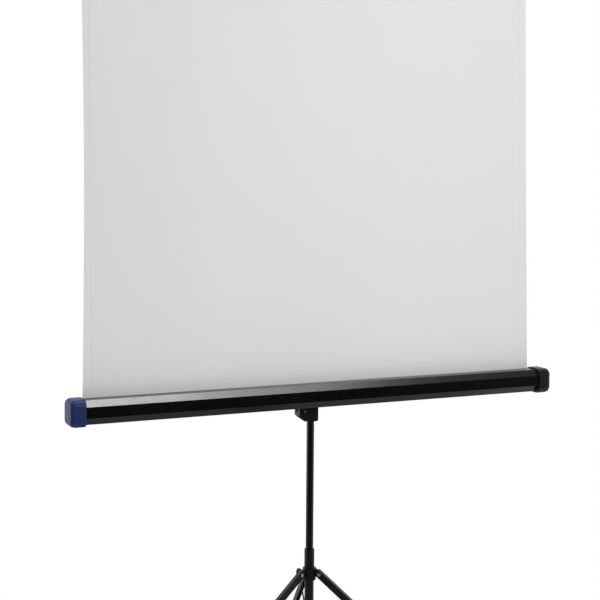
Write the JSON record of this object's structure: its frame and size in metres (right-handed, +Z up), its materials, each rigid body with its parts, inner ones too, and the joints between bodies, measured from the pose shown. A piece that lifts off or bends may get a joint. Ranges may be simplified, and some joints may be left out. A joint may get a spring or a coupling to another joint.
{
  "type": "tripod projector screen",
  "caption": "Free-standing projection screen: spring roller in a faceted case on a telescopic column with folding legs and a hook arm that holds the pulled-up cloth.",
  "frame": {"origin": "on the floor, under the middle of the whole screen's width and depth", "axes": "+X along the case to the right as the audience sees it, -Y towards the audience, +Z up"},
  "size_m": [1.604, 0.9574, 2.6157],
  "materials": {
    "case_black": "glossy black paint on sheet steel",
    "tube_black": "satin black paint on steel tube and channel",
    "slat_black": "black anodised, satin",
    "plastic_black": "moulded, fine grain",
    "plastic_blue": "moulded dark blue, satin",
    "rubber_black": "matt",
    "steel_zinc": "bright zinc plated",
    "cloth_grey": "matt coated projection cloth"
  },
  "bodies": {
    "base": {"base_tube": "tube_black", "base_collar": "plastic_black", "base_bottom_cap": "plastic_black", "runner_stop": "steel_zinc", "hub": "plastic_black", "leg_pin_1": "steel_zinc", "leg_pin_2": "steel_zinc", "leg_pin_3": "steel_zinc"},
    "lock_knob": {"column_lock_knob": "plastic_black", "column_lock_stud": "steel_zinc"},
    "leg_a": {"leg_1": "tube_black", "foot_1": "rubber_black", "brace_upper_pin_1": "steel_zinc"},
    "leg_b": {"leg_2": "tube_black", "foot_2": "rubber_black", "brace_upper_pin_2": "steel_zinc"},
    "leg_c": {"leg_3": "tube_black", "foot_3": "rubber_black", "brace_upper_pin_3": "steel_zinc"},
    "brace_a": {"brace_1": "tube_black", "brace_lower_pin_1": "steel_zinc"},
    "brace_b": {"brace_2": "tube_black", "brace_lower_pin_2": "steel_zinc"},
    "brace_c": {"brace_3": "tube_black", "brace_lower_pin_3": "steel_zinc"},
    "runner": {"runner": "plastic_black"},
    "column": {"column_tube": "tube_black", "column_lower_bush": "plastic_black", "column_top_bush": "plastic_black", "head_bracket": "plastic_black", "head_screw": "steel_zinc", "pivot_bolt": "steel_zinc", "pivot_washer": "plastic_black", "pivot_nut": "steel_zinc", "release_lever_pin": "steel_zinc", "case_saddle": "case_black", "saddle_screw_left": "steel_zinc", "saddle_screw_right": "steel_zinc", "case_shell": "case_black", "end_cap_left": "plastic_blue", "end_cap_right": "plastic_black", "cap_screw_left": "steel_zinc", "cap_screw_right": "steel_zinc", "roller_pin_left": "steel_zinc", "screen_cloth": "cloth_grey"},
    "lever": {"release_lever": "plastic_black"},
    "middle": {"extension_middle": "tube_black", "extension_bush": "plastic_black"},
    "upper": {"extension_upper": "tube_black", "hook_arm": "plastic_black"},
    "roller": {"roller_tube": "steel_zinc", "roller_plug_left": "plastic_black", "roller_plug_right": "plastic_black", "roller_spring": "steel_zinc", "wound_cloth": "cloth_grey"},
    "slat": {"top_slat": "slat_black", "slat_cap_left": "plastic_black", "slat_cap_right": "plastic_black", "slat_bail": "steel_zinc"}
  },
  "joints": [
    {"name": "leg_fold", "type": "hinge", "parent": "base", "child": "leg_a", "pos_m": [0.0244, -0.09544, 0.411], "axis": [0.7071, 0.7071, 0], "range_deg": [0, 52]},
    {"name": "leg_fold_b", "type": "hinge", "parent": "base", "child": "leg_b", "pos_m": [-0.03332, -0.07998, 0.411], "axis": [0.2588, -0.9659, 0], "range_deg": [0, 52]},
    {"name": "leg_fold_c", "type": "hinge", "parent": "base", "child": "leg_c", "pos_m": [0.00893, -0.03772, 0.411], "axis": [-0.9659, 0.2588, 0], "range_deg": [0, 52]},
    {"name": "brace_fold_a", "type": "hinge", "parent": "leg_a", "child": "brace_a", "pos_m": [0.09683, -0.16788, 0.33096], "axis": [-0.7071, -0.7071, 0], "range_deg": [0, 104]},
    {"name": "brace_fold_b", "type": "hinge", "parent": "leg_b", "child": "brace_b", "pos_m": [-0.13228, -0.10649, 0.33096], "axis": [-0.2588, 0.9659, 0], "range_deg": [0, 104]},
    {"name": "brace_fold_c", "type": "hinge", "parent": "leg_c", "child": "brace_c", "pos_m": [0.03544, 0.06123, 0.33096], "axis": [0.9659, -0.2588, 0], "range_deg": [0, 104]},
    {"name": "runner_slide", "type": "slide", "parent": "base", "child": "runner", "axis": [0, 0, -1], "range_m": [0, 0.0999]},
    {"name": "lock_knob_turn", "type": "hinge", "parent": "base", "child": "lock_knob", "pos_m": [0, -0.07105, 0.411], "axis": [-0.7071, 0.7071, 0], "range_deg": [0, 180]},
    {"name": "column_slide", "type": "slide", "parent": "base", "child": "column", "axis": [0, 0, 1], "range_m": [-0.06, 0.1]},
    {"name": "release_lever_squeeze", "type": "hinge", "parent": "column", "child": "lever", "pos_m": [-0.027, -0.07105, 0.923], "axis": [0, 1, 0], "range_deg": [0, 12], "stiffness_Nm_per_rad": 0.4, "springref_deg": -8.59},
    {"name": "middle_slide", "type": "slide", "parent": "column", "child": "middle", "axis": [0, 0, -1], "range_m": [0, 0.765]},
    {"name": "upper_slide", "type": "slide", "parent": "middle", "child": "upper", "axis": [0, 0, -1], "range_m": [0, 0.765]},
    {"name": "screen_slide", "type": "slide", "parent": "column", "child": "slat", "axis": [0, -0.0317, -0.9995], "range_m": [0, 1.50075], "deforming": ["screen_cloth"]},
    {"name": "roller_spin", "type": "hinge", "parent": "column", "child": "roller", "pos_m": [0, -0.1573, 0.985], "axis": [-1, 0, 0], "range_deg": [0, 3910]}
  ],
  "couplings": [
    {"joint": "leg_fold_b", "follows": "leg_fold", "ratio": 1},
    {"joint": "leg_fold_c", "follows": "leg_fold", "ratio": 1},
    {"joint": "brace_fold_a", "follows": "leg_fold", "ratio": 2},
    {"joint": "brace_fold_b", "follows": "leg_fold", "ratio": 2},
    {"joint": "brace_fold_c", "follows": "leg_fold", "ratio": 2},
    {"joint": "runner_slide", "follows": "leg_fold", "m_per_rad": 0.1101},
    {"joint": "middle_slide", "follows": "screen_slide", "ratio": 0.50974},
    {"joint": "upper_slide", "follows": "screen_slide", "ratio": 0.50974},
    {"joint": "roller_spin", "follows": "screen_slide", "rad_per_m": 45.45}
  ]
}
